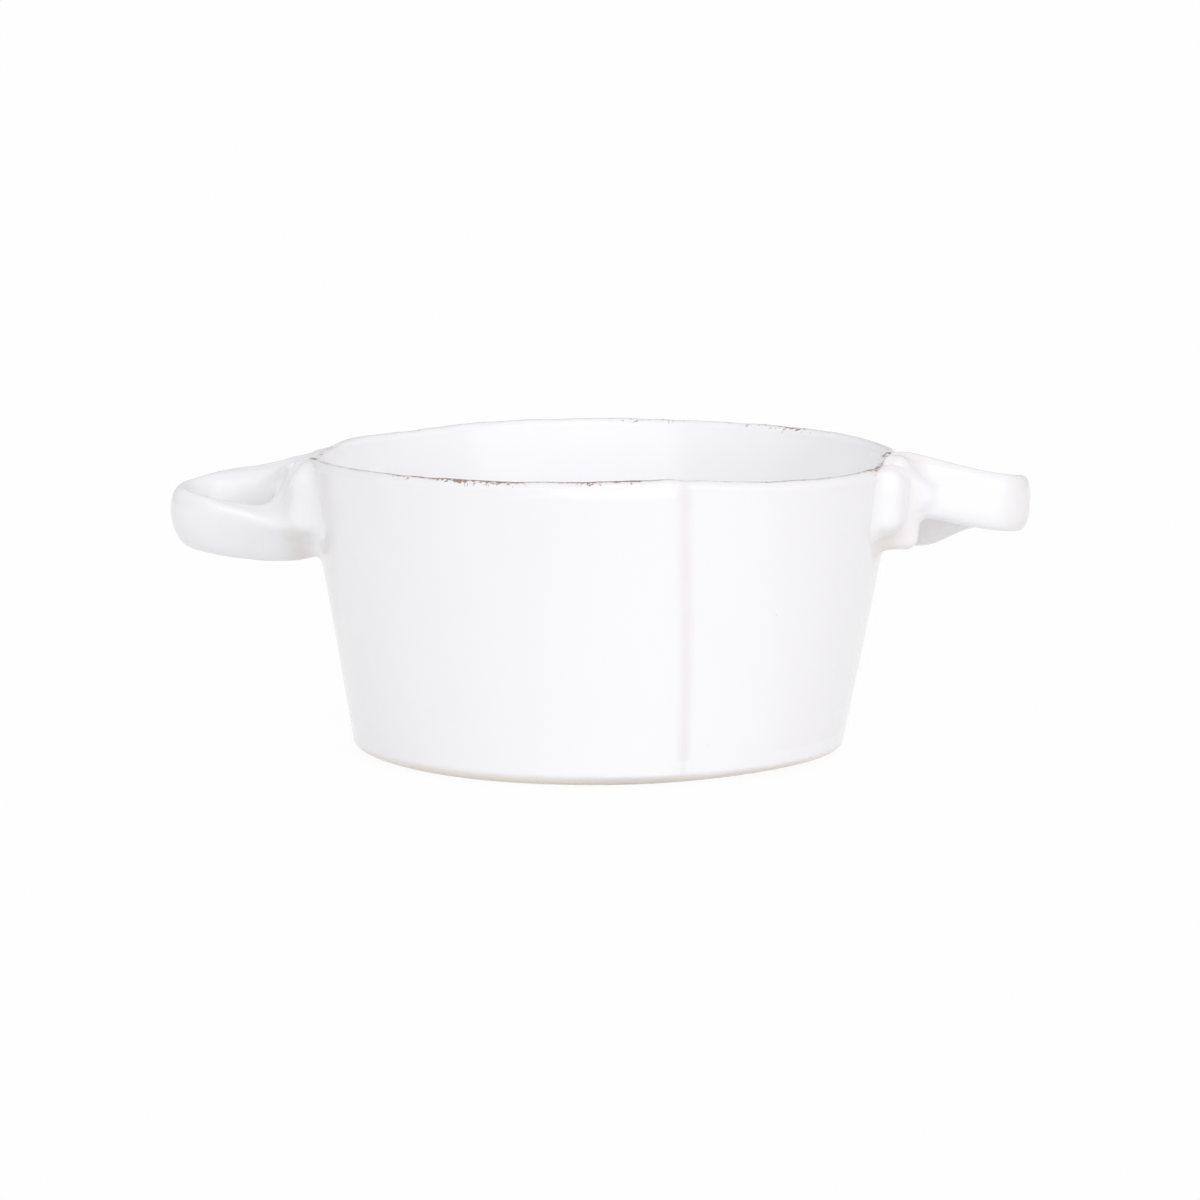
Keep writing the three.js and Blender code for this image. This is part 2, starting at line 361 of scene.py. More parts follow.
def ring_points(radius, turn, z):
    """Points at a radius and a height, by the angle from the front."""
    return np.stack([radius * np.sin(turn) + lean(z), -radius * np.cos(turn), z + 0.0 * turn], axis=-1)


def wall_points():
    """Closed skin of the wall as rows of points, with the distance of each from the rim's crest."""
    past_lap = wall_stations()
    angle = past_lap + LAP_ANGLE
    cut = RIM_RIPPLE * ripple(RIM_SEED, 7.0 * angle, 0.0, RIM_RIPPLE_LENGTH) * beside_handles(angle)
    rim_top = rim_height(past_lap) + cut
    shoulder = rim_top - RIM_ROUNDING
    rows = []

    def add(radius, z, crest):
        rows.append((radius + 0.0 * past_lap, z + 0.0 * past_lap, crest + 0.0 * past_lap))

    flat = 0.5 * (WALL_ACROSS - 2.0 * RIM_ROUNDING)
    arc = 0.5 * math.pi * RIM_ROUNDING
    heights = 1.0 - (1.0 - np.linspace(0.0, 1.0, 54)) ** 1.25
    for share in heights:
        z = FLOOR_THICKNESS + (shoulder - FLOOR_THICKNESS) * share
        add(outer_radius(past_lap, z, rim_top), z, flat + arc + shoulder - z)
    outside = outer_radius(past_lap, shoulder, rim_top)
    inside = cone_radius(shoulder) - WALL_ACROSS
    for turn in np.linspace(0.0, 0.5 * math.pi, 10)[1:]:
        radius = outside - RIM_ROUNDING * (1.0 - math.cos(turn))
        add(radius, shoulder + RIM_ROUNDING * math.sin(turn), flat + arc - RIM_ROUNDING * turn)
    for turn in np.linspace(0.5 * math.pi, 0.0, 10):
        radius = inside + RIM_ROUNDING * (1.0 - math.cos(turn))
        add(radius, shoulder + RIM_ROUNDING * math.sin(turn), -(flat + arc - RIM_ROUNDING * turn))
    for share in heights[::-2][1:]:
        z = FLOOR_THICKNESS + (shoulder - FLOOR_THICKNESS) * share
        sway = WALL_SWAY * ripple(INSIDE_SEED, angle, z, WALL_SWAY_LENGTH)
        sway = sway * smoothstep(3.0, 12.0, shoulder - z)
        add(cone_radius(z) - WALL_ACROSS + sway, z, -(flat + arc + shoulder - z))
    radius, z, crest = (np.array(part) for part in zip(*rows))
    turn = past_lap + lap_angle(z)
    return ring_points(radius, turn, z), crest


def grid_faces(rows, columns, closed_rows):
    """Quads over rows of points, each row a ring."""
    row = np.arange(rows if closed_rows else rows - 1)[:, None]
    column = np.arange(columns)[None, :]
    above = (row + 1) % rows
    beside = (column + 1) % columns
    corners = [
        row * columns + column,
        row * columns + beside,
        above * columns + beside,
        above * columns + column,
    ]
    return np.stack(np.broadcast_arrays(*corners), axis=-1).reshape(-1, 4)


def new_piece(name, points, faces, sharp=35.0):
    """Mesh object from points in millimetres."""
    mesh = bpy.data.meshes.new(name)
    places = np.asarray(points).reshape(-1, 3) * MM
    mesh.from_pydata(places.tolist(), [], [tuple(face) for face in faces])
    mesh.update()
    mesh.polygons.foreach_set("use_smooth", np.ones(len(mesh.polygons), dtype=bool))
    mesh.set_sharp_from_angle(angle=math.radians(sharp))
    piece = bpy.data.objects.new(name, mesh)
    bpy.context.scene.collection.objects.link(piece)
    return piece


def rim_wear(angle, crest):
    """How far the rim is rubbed bare, by the angle from the front and the distance out from its crest."""
    wear = np.zeros(crest.shape)
    for middle, width, place, spread, depth in RIM_WEAR:
        away = turned_from(angle, middle)
        out = (crest - place) / spread
        wear = wear + depth * np.exp(-(away / math.radians(width)) ** 2 - out ** 2)
    return wear


def store(piece, name, values):
    """Keeps one number for each point of a piece, for its finish to read."""
    layer = piece.data.attributes.new(name, "FLOAT", "POINT")
    layer.data.foreach_set("value", np.ravel(values))


def wall_piece():
    """The wall, with its wear, its inside, which its finish paints lighter, and the thin glaze and painted
    shade along its lap kept for its finish.
    """
    points, crest = wall_points()
    piece = new_piece("glazed_wall", points, grid_faces(*crest.shape, True))
    turn = np.arctan2(points[..., 0], -points[..., 1])
    store(piece, "wear", rim_wear(turn, crest))
    # The inside is kept so that its finish can paint it lighter: painted light.
    store(piece, "inside", smoothstep(0.0, -4.0, crest))
    # Painted shade and thinner glaze along the lap's step.
    back = behind_lap(wall_stations()) + 0.0 * crest
    thin = smoothstep(5.0, 0.6, back) * smoothstep(-2.2, -0.2, back) * smoothstep(1.0, 4.0, crest)
    store(piece, "lap", thin)
    return piece


# Floor

def capped_rings(rings):
    """Points and faces of rings from the middle of the underside to the middle of the top."""
    rows, columns = rings.shape[:2]
    points = rings.reshape(-1, 3)
    middles = np.array([rings[0].mean(axis=0), rings[-1].mean(axis=0)])
    faces = [tuple(face) for face in grid_faces(rows, columns, False)]
    low = rows * columns
    for column in range(columns):
        beside = (column + 1) % columns
        faces.append((low, beside, column))
        faces.append((low + 1, (rows - 1) * columns + column, (rows - 1) * columns + beside))
    return np.concatenate([points, middles]), faces


def floor_piece():
    """The floor and its foot, as rings from the underside to the top."""
    past_lap = wall_stations()
    rim_top = rim_height(past_lap)
    angle = past_lap + lap_angle(0.0)
    foot = cone_radius(FOOT_ROUNDING)
    wide = FOOT_ROUNDING + 0.0 * angle
    for middle, width, more in FOOT_WIDER:
        away = turned_from(angle, middle)
        wide = wide + more * np.exp(-(away / math.radians(width)) ** 2)
    profile = [(share * (foot - wide), 0.0) for share in np.linspace(0.1, 0.98, 10)]
    for turn in np.linspace(0.0, 0.5 * math.pi, 16):
        profile.append((foot - wide * (1.0 - math.sin(turn)), FOOT_ROUNDING * (1.0 - math.cos(turn))))
    profile.append((cone_radius(FLOOR_THICKNESS) + 0.0 * wide, FLOOR_THICKNESS))
    rings = []
    for radius, z in profile:
        proud = outer_radius(past_lap, max(z, 2.0), rim_top) - cone_radius(max(z, 2.0))
        radius = radius + proud * smoothstep(0.2, 3.0, z)
        turn = past_lap + lap_angle(z)
        rings.append(ring_points(radius, turn, z))
    for share in np.linspace(0.97, 0.1, 12):
        radius = share * cone_radius(FLOOR_THICKNESS)
        turn = past_lap + lap_angle(FLOOR_THICKNESS)
        rise = FLOOR_SWAY * ripple(FLOOR_SEED, turn, radius, FLOOR_SWAY_LENGTH)
        ring = ring_points(radius, turn, FLOOR_THICKNESS)
        ring[:, 2] += rise * smoothstep(0.95, 0.8, share) * smoothstep(0.1, 0.4, share)
        rings.append(ring)
    return new_piece("glazed_floor", *capped_rings(np.array(rings)), sharp=50.0)


def corner_coil_piece():
    """The coil in the inside corner, pressed hollow."""

    def inner(z):
        return cone_radius(z) - WALL_ACROSS + CORNER_COIL_IN_WALL

    turn = np.linspace(-math.pi, math.pi, 240, endpoint=False)
    low = FLOOR_THICKNESS - CORNER_COIL_IN_FLOOR
    high = FLOOR_THICKNESS + CORNER_COIL_LEG
    corner = np.array([inner(FLOOR_THICKNESS), FLOOR_THICKNESS])
    start = np.array([inner(low) - CORNER_COIL_LEG, low])
    end = np.array([inner(high), high])
    profile = [end]
    for share in np.linspace(0.0, 1.0, 18)[1:]:
        profile.append((1 - share) ** 2 * end + 2 * share * (1 - share) * corner + share ** 2 * start)
    profile.append(np.array([inner(low), low]))
    rings = np.array([ring_points(radius, turn, z) for radius, z in profile])
    return new_piece("glazed_corner_coil", rings, grid_faces(len(rings), len(turn), True))


# Handles and the coils beside them, as fields that are negative inside the clay

ROOT_FACE = cone_radius(PAD_MIDDLE)
LOOP_ROOT = ROOT_FACE + ROOT_SEAT


def loop_tip(handle):
    """Distance out to the middle of the strap at the tip of the loop."""
    return ROOT_FACE + handle["reach"] - 0.5 * handle["thickness"]


def half_loop(handle):
    """Middle line of one arm, from inside the wall to the tip of the level loop, and its direction."""

    def bend(wave):
        return np.sign(wave) * np.abs(wave) ** (2.0 / LOOP_SQUARENESS)

    turn = np.linspace(0.5 * math.pi, -0.03, 160)
    middle = 0.5 * (LOOP_ROOT + loop_tip(handle))
    width = 0.5 * (LOOP_WIDTH - handle["thickness"])
    straight = np.stack([np.linspace(ARM_START, middle, 90), np.full(90, width)], axis=-1)
    outward = middle + (middle - LOOP_ROOT) * bend(np.cos(turn))
    curve = np.stack([outward, width * bend(np.sin(turn))], axis=-1)
    line = np.concatenate([straight[:-1], curve])
    ahead = np.gradient(line, axis=0)
    return line, ahead / np.linalg.norm(ahead, axis=1)[:, None]


def distance_to_loop(out, side, handle):
    """Distance in the loop's own plane from its middle line, below zero within the loop."""
    line, ahead = half_loop(handle)
    spots = np.stack([out.ravel(), np.abs(side.ravel())], axis=-1)
    result = np.empty(len(spots))
    batch = 30000
    for start in range(0, len(spots), batch):
        part = spots[start:start + batch]
        squared = (part[:, None, 0] - line[None, :, 0]) ** 2 + (part[:, None, 1] - line[None, :, 1]) ** 2
        nearest = squared.argmin(axis=1)
        away, heading = part - line[nearest], ahead[nearest]
        along = np.clip((away * heading).sum(axis=1), -0.4, 0.4)
        outward = np.sign(heading[:, 0] * away[:, 1] - heading[:, 1] * away[:, 0])
        far = np.sqrt(np.maximum(squared[np.arange(len(part)), nearest] - along ** 2, 0.0))
        result[start:start + batch] = outward * far
    return result.reshape(out.shape)


def rounded_box(offsets, rounding):
    """Distance to a box with rounded edges, from the offsets past its flat-sided core."""
    outside = np.sqrt(sum(np.maximum(offset, 0.0) ** 2 for offset in offsets))
    inside = np.minimum(np.maximum.reduce(offsets), 0.0)
    return outside + inside - rounding


def cushion(across, half_across, height, half_height, squareness):
    """Distance to a strap's section, which goes from an oval to a rounded block as it gets squarer."""
    first = np.maximum(np.abs(across), 1e-4) / half_across
    second = np.maximum(np.abs(height), 1e-4) / half_height
    size = (first ** squareness + second ** squareness) ** (1.0 / squareness)
    slope = np.hypot(first ** (squareness - 1.0) / half_across, second ** (squareness - 1.0) / half_height)
    return (size - 1.0) / (slope * size ** (1.0 - squareness))


def least(first, second, fill):
    """The smaller of two fields, with the corner between them filled."""
    near = np.maximum(fill - np.abs(first - second), 0.0) / fill
    return np.minimum(first, second) - 0.25 * fill * near * near


def far_side(side, handle):
    """Distance of a point beyond the middle of the handle, away from the front of the bowl."""
    return side * handle["turn"]


def on_far_arm(side, handle):
    """0 on the near arm, 1 on the far one."""
    return smoothstep(0.0, 9.0, far_side(side, handle))


def along_pad(side, handle):
    """Distance towards the far end of the pad, held at its ends."""
    return np.clip(far_side(side, handle), -PAD_REACH, PAD_REACH)


def loop_place(out, side, z, handle):
    """Share of the way from root to tip, and the offsets level with the loop and up along the strap."""
    share = eased((out - LOOP_ROOT) / (loop_tip(handle) - LOOP_ROOT))
    roll = between(handle["root_roll"], handle["tip_roll"], share)
    drop = between(handle["root_drop"], handle["tip_drop"], share)
    drop = drop + 4.0 * handle["sag"] * share * (1.0 - share)
    drop = drop + handle["far_drop"] * on_far_arm(side, handle) * smoothstep(0.95, 0.25, share)
    up = z - BOWL_HEIGHT + drop
    return share, side * np.cos(roll) - up * np.sin(roll), side * np.sin(roll) + up * np.cos(roll)


def strap_field(out, side, z, handle):
    """Distance to the strap that is bent into the loop."""
    share, level, height = loop_place(out, side, z, handle)
    root = 1.0 - smoothstep(0.0, 0.45, share)
    half_thick = 0.5 * between(handle["thickness"], handle["root_thickness"], root)
    trim = handle["far_trim"] * on_far_arm(side, handle) * smoothstep(0.1, 0.6, share)
    half_height = 0.5 * (between(handle["root_height"], handle["tip_height"], share) - trim)
    tilt = between(handle["near_lean"], handle["far_lean"], smoothstep(-7.0, 7.0, far_side(side, handle)))
    tilt = between(tilt, handle["tip_lean"], smoothstep(0.75, 1.0, share))
    across = distance_to_loop(out, level, handle) - tilt * height
    squareness = between(handle["arm_squareness"], handle["tip_squareness"], smoothstep(0.5, 1.0, share))
    height = height - 0.5 * trim
    rise = handle["root_rise"] * (smoothstep(86.0, 73.0, out) + 0.8 * smoothstep(75.5, 69.5, out))
    half_height = np.where(height < 0.0, half_height - rise, half_height)
    return cushion(across, half_thick, height, half_height, squareness)


def pad_top(out, side, handle):
    """Height of the pad's upper edge."""
    level = handle["pad_top"] + handle["pad_slope"] * along_pad(side, handle)
    return level - handle["pad_fall"] * np.clip(out - ROOT_FACE, 0.0, PAD_FALL_REACH)


def pad_field(out, side, z, handle):
    """Distance to the pad that is pressed on the wall."""
    top = pad_top(out, side, handle)
    middle = 0.5 * (top + handle["pad_low"])
    depth = np.interp(z, *zip(*handle["pad_depth"])) + handle["pad_flare"] * along_pad(side, handle)
    rounding = handle["pad_rounding"]
    offsets = [
        np.abs(out - ROOT_FACE) - (depth - rounding),
        np.abs(far_side(side, handle) - handle["pad_shift"]) - (0.5 * handle["pad_width"] - rounding),
        np.abs(z - middle) - (top - middle - rounding),
    ]
    return rounded_box(offsets, rounding)


def coil_field(out, side, z, which):
    """Distance to one of the upright coils beside the pad."""
    half = 0.5 * COIL_LENGTH - COIL_RADIUS
    middle = BOWL_HEIGHT - COIL_DROP - 0.5 * COIL_LENGTH
    radius = cone_radius(middle) + COIL_SEAT
    around = which * math.asin(COIL_PLACE / radius)
    reach = 1.5 * half
    along = reach * np.tanh((z - middle) / reach)
    past_end = COIL_TAPER * np.log1p(np.exp((np.abs(z - middle) - half) / COIL_TAPER))
    away_out = out - radius * math.cos(around) - COIL_SPREAD * along
    away_side = side - radius * math.sin(around) - which * COIL_LEAN * along
    return np.sqrt(away_out ** 2 + away_side ** 2 + past_end ** 2) - COIL_RADIUS - COIL_SWELL * along


def wall_field(out, side, z, handle):
    """Distance to the wall next to a handle, the distance from its outer face, and the height of its rim."""
    radius = np.hypot(out, side)
    turn = handle["turn"]
    rim_top = rim_height(np.arctan2(turn * out, -turn * side) - LAP_ANGLE)
    from_face = (radius - cone_radius(z)) * math.cos(WALL_TAPER)
    across = np.abs(from_face + 0.5 * WALL_THICKNESS) - 0.5 * WALL_THICKNESS
    return rounded_box([across + RIM_ROUNDING, z - rim_top + RIM_ROUNDING], RIM_ROUNDING), from_face, rim_top


def clay_fields(spots, handle):
    """Fields of the handle and of its two coils, each with its share of the filled corners."""
    out, side, z = spots[..., 0], spots[..., 1], spots[..., 2]
    towards_far = smoothstep(-4.0, 8.0, far_side(side, handle))
    inner_fill = between(handle["near_fill"], handle["far_fill"], towards_far)
    inner_fill = inner_fill * smoothstep(2.0, -3.0, z - pad_top(out, side, handle))
    inner_fill = 1.0 + inner_fill * smoothstep(handle["pad_low"] - 1.0, handle["pad_low"] + 5.0, z)
    loop = least(strap_field(out, side, z, handle), pad_field(out, side, z, handle), inner_fill)
    coils = [coil_field(out, side, z, which) for which in (-1, 1)]
    wall, from_face, rim_top = wall_field(out, side, z, handle)
    either = np.minimum(*coils)
    pressed = least(loop, either, handle["coil_fill"])
    fill = between(handle["low_fill"], handle["high_fill"], smoothstep(50.0, 62.0, z))
    fill = between(fill, FILL_COIL_WALL, smoothstep(-2.0, 2.0, loop - either))
    fill = np.maximum(fill * smoothstep(-2.4, -0.2, from_face) * smoothstep(0.5, -1.0, z - rim_top), 0.01)
    whole = least(pressed, wall, fill)
    behind = -(from_face + SEAT_DEPTH)

    def share(own, others):
        beyond = np.maximum(own - others, 0.0)
        past_fill = np.maximum(own - fill, 0.0)
        sunk = whole + SINK * beyond * (1.0 + np.minimum(beyond, SINK_REACH))
        sunk = sunk + SINK * past_fill * np.minimum(past_fill, SINK_REACH)
        return -least(-sunk, -behind, SEAT_ROUNDING)

    return {
        "whole": whole,
        "handle": share(loop, either),
        -1: share(coils[0], np.minimum(loop, coils[1])),
        1: share(coils[1], np.minimum(loop, coils[0])),
    }


def clay_net(field, low, high, step):
    """Net of quads over the surface of a field, drawn on to the surface."""
    axes = [np.arange(start, stop + step, step) for start, stop in zip(low, high)]
    values = field(np.stack(np.meshgrid(*axes, indexing="ij"), axis=-1))
    size = np.array(values.shape)
    total = np.zeros((*(size - 1), 3))
    count = np.zeros(size - 1)

    def corner(place):
        return values[tuple(slice(start, length - 1 + start) for start, length in zip(place, size))]

    for axis in range(3):
        for first in (0, 1):
            for second in (0, 1):
                start = np.zeros(3, dtype=int)
                start[(axis + 1) % 3] = first
                start[(axis + 2) % 3] = second
                stop = start.copy()
                stop[axis] = 1
                here, there = corner(start), corner(stop)
                cross = (here < 0.0) != (there < 0.0)
                spot = np.repeat(start[None, :].astype(float), cross.sum(), axis=0)
                spot[:, axis] = here[cross] / (here[cross] - there[cross])
                total[cross] += spot
                count += cross
    used = count > 0
    number = np.full(count.shape, -1)
    number[used] = np.arange(used.sum())
    spots = np.array(low) + step * (np.argwhere(used) + total[used] / count[used][:, None])
    faces = []
    for axis in range(3):
        across, along = (axis + 1) % 3, (axis + 2) % 3
        here = np.take(values, np.arange(size[axis] - 1), axis=axis)
        there = np.take(values, np.arange(1, size[axis]), axis=axis)
        place = np.argwhere((here < 0.0) != (there < 0.0))
        place = place[(place[:, across] > 0) & (place[:, along] > 0)]
        place = place[(place[:, across] < size[across] - 1) & (place[:, along] < size[along] - 1)]
        ring = []
        for first, second in ((-1, -1), (0, -1), (0, 0), (-1, 0)):
            cell = place.copy()
            cell[:, across] += first
            cell[:, along] += second
            ring.append(number[tuple(cell.T)])
        ring = np.stack(ring, axis=-1)
        outward = here[tuple(place.T)] < 0.0
        faces.append(np.where(outward[:, None], ring, ring[:, ::-1]))
    for _ in range(3):
        value, slope = field(spots), field_slope(field, spots)
        move = value / np.maximum((slope ** 2).sum(axis=-1), 0.1)
        spots = spots - np.clip(move, -0.3 * step, 0.3 * step)[:, None] * slope
    return spots, np.concatenate(faces)


def field_slope(field, spots):
    """Slope of a field along each axis."""
    reach = 0.05
    rises = [field(spots + reach * unit) - field(spots - reach * unit) for unit in np.eye(3)]
    return np.stack(rises, axis=-1) / (2.0 * reach)


def edges_of(face):
    """Edges of a face, each as its lower and higher point."""
    return [(min(pair), max(pair)) for pair in zip(face, face[1:] + face[:1])]


def part_pinches(spots, faces):
    """Splits the points where two sheets of a net touch along an edge, so that each sheet is closed."""
    apart = 0.1
    spots, faces = [tuple(spot) for spot in spots], [list(face) for face in faces]
    around, beside = {}, {}
    for number, face in enumerate(faces):
        for point, edge in zip(face, edges_of(face)):
            beside.setdefault(edge, set()).add(number)
            around.setdefault(point, []).append(number)
    pinched = {point for edge, sheets in beside.items() if len(sheets) > 2 for point in edge}
    for point in sorted(pinched):
        groups = []
        for number in around[point]:
            group = {number}
            for edge in edges_of(faces[number]):
                if point in edge and len(beside[edge]) == 2:
                    group |= beside[edge]
            for other in [other for other in groups if other & group]:
                group |= other
                groups.remove(other)
            groups.append(group)
        for group in groups if len(groups) > 1 else []:
            corners = [spots[corner] for number in sorted(group) for corner in faces[number]]
            spots.append(tuple(between(np.array(spots[point]), np.mean(corners, axis=0), apart)))
            for number in group:
                for edge in edges_of(faces[number]):
                    beside[edge].discard(number)
                faces[number][faces[number].index(point)] = len(spots) - 1
                for edge in edges_of(faces[number]):
                    beside.setdefault(edge, set()).add(number)
    used = np.unique(faces)
    return np.array(spots)[used], np.searchsorted(used, faces)


def corner_band(spots, place, width):
    """Share of a band along the wall under the pad, by its distance from the wall."""
    from_face = np.hypot(spots[:, 0], spots[:, 1]) - cone_radius(spots[:, 2])
    return np.exp(-((from_face - place) / width) ** 2) * smoothstep(CORNER_TOP, CORNER_FULL, spots[:, 2])


def crevice_shade_share(spots, handle):
    """Painted shade, brownish, in the corner on the wall and under the far arm."""
    corner = corner_band(spots, handle["crevice_shade_place"], CREVICE_SHADE_WIDTH)
    shaded = smoothstep(0.0, 6.0, far_side(spots[:, 1], handle)) * smoothstep(66.0, 58.0, spots[:, 2])
    return handle["crevice_shade_depth"] * corner + handle["shade_depth"] * shaded


def inner_light_share(spots, handle):
    """Painted light, whiter, inside the loop and right on the wall where the corner lies in shade."""
    level = loop_place(*spots.T, handle)[1]
    loop = smoothstep(0.5, -2.0, distance_to_loop(spots[:, 0], level, handle))
    corner = corner_band(spots, CORNER_LIGHT_PLACE, CORNER_LIGHT_WIDTH)
    return np.maximum(loop, handle["corner_light"] * corner)


def handle_pieces(side, handle):
    """The handle and its two coils, keyed by the solid each one stands for."""
    turn = handle["turn"]
    pieces = {}
    for key, (low, high, step) in NET_SPACES.items():
        spots, faces = clay_net(lambda place: clay_fields(place, handle)[key], low, high, step)
        spots, faces = part_pinches(spots, faces)
        # Painted shade in the corners and painted light inside the loop, kept for the finish.
        crevice_shade, inner = crevice_shade_share(spots, handle), inner_light_share(spots, handle)
        outward = field_slope(lambda place: clay_fields(place, handle)["whole"], spots)
        outward = outward / np.linalg.norm(outward, axis=1)[:, None]
        outward[:, :2] *= turn
        spots[:, :2] *= turn
        node = f"{side}_handle"
        if key != "handle":
            node = f"{side}_{'front' if key * turn < 0 else 'rear'}_handle_coil"
        piece = new_piece(f"glazed_{node}", spots, faces)
        piece.data.normals_split_custom_set_from_vertices(outward.tolist())
        store(piece, "crevice_shade", crevice_shade)
        store(piece, "inner", inner)
        pieces[node] = piece
    return pieces


# Finishes

# Colours as they look on screen
SPECK = (190, 180, 172)
# Painted shade, darker and warmer, for the sides where the light falls off
SIDE_SHADE = (239, 237, 237)
FOOT_GLAZE = (236, 229, 221)
# Painted light inside a loop and on the wall under a pad
INNER_LIGHT = (249, 249, 250)
# Painted shade in deep corners and under a far arm
CREVICE_SHADE = (218, 209, 200)
# Painted shade on the rim's upper rounding
RIM_SHADE = (236, 236, 237)
# Painted light inside the bowl
INSIDE_LIGHT = (248, 248, 249)
# Painted shade with thinner glaze along the lap
LAP_THIN_GLAZE_AND_SHADE = (234, 230, 231)
DARK_CLAY = (112, 84, 74)
PALE_CLAY = (178, 156, 146)

# Heights in metres where the painted shade below the rim's crest and the glaze of the foot start and are
# full
RIM_SHADE_HEIGHTS = (0.0722, 0.0745)
FOOT_GLAZE_HEIGHTS = (0.0034, 0.0012)

# Painted shade, darker and warmer, on the sides where the light falls off: distances along X in metres where
# each starts and is full, and its share
WALL_SIDE_SHADE = [(-0.0615, -0.0665, 1.0), (0.036, 0.05, 0.3)]
RIGHT_COIL_SIDE_SHADE = [(0.0715, 0.0755, 0.6)]
RIGHT_HANDLE_SIDE_SHADE = [(0.0985, 0.105, 1.0), (0.083, 0.078, 1.0)]

GLAZE_IOR = 1.5
GLAZE_ROUGHNESS = 0.1
PAPER = (0.886, 0.886, 0.886, 1.0)
PAPER_WHITE = 0.955
WORLD_LIGHT = (0.66, 0.66, 0.67, 1.0)


class Wire:
    """One output of a node in a material, worked on with Python's operators."""

    def __init__(self, socket):
        self.socket = socket

    def node(self, kind, settings, sockets, output=0):
        """Adds a node to the same material and gives one of its outputs."""
        tree = self.socket.id_data
        made = tree.nodes.new(kind)
        for name, value in settings.items():
            setattr(made, name, value)
        for name, value in sockets.items():
            if isinstance(value, Wire):
                tree.links.new(value.socket, made.inputs[name])
            else:
                made.inputs[name].default_value = value
        return Wire(made.outputs[output])

    def math(self, operation, *values):
        return self.node("ShaderNodeMath", {"operation": operation}, dict(enumerate(values)))

    def __add__(self, other):
        return self.math("ADD", self, other)

    __radd__ = __add__

    def __sub__(self, other):
        return self.math("SUBTRACT", self, other)

    def __rsub__(self, other):
        return self.math("SUBTRACT", other, self)

    def __mul__(self, other):
        return self.math("MULTIPLY", self, other)

    __rmul__ = __mul__

    def most(self, other):
        return self.math("MAXIMUM", self, other)

    def fade(self, low, high):
        """0 below low, 1 above high, smooth between; the other way round where low is above high."""
        return self.node(
            "ShaderNodeMapRange",
            {"interpolation_type": "SMOOTHSTEP"},
            {"Value": self, "From Min": low, "From Max": high, "To Min": 0.0, "To Max": 1.0},
        )

    def noise(self, scale, detail=2.0, roughness=0.5):
        sockets = {"Vector": self, "Scale": scale, "Detail": detail, "Roughness": roughness}
        return self.node("ShaderNodeTexNoise", {}, sockets)

    def axis(self, name):
        return self.node("ShaderNodeSeparateXYZ", {}, {"Vector": self}, name)


def tint(share, first, second):
    """Colour that goes from the first to the second."""
    return share.node("ShaderNodeMix", {"data_type": "RGBA"}, {"Factor": share, 6: first, 7: second}, 2)


def colour(red, green, blue):
    """Scene colour of a colour that is given as it looks on screen, from 0 to 255."""

    def channel(value):
        value = value / 255.0
        return value / 12.92 if value <= 0.04045 else ((value + 0.055) / 1.055) ** 2.4

    return (channel(red), channel(green), channel(blue), 1.0)


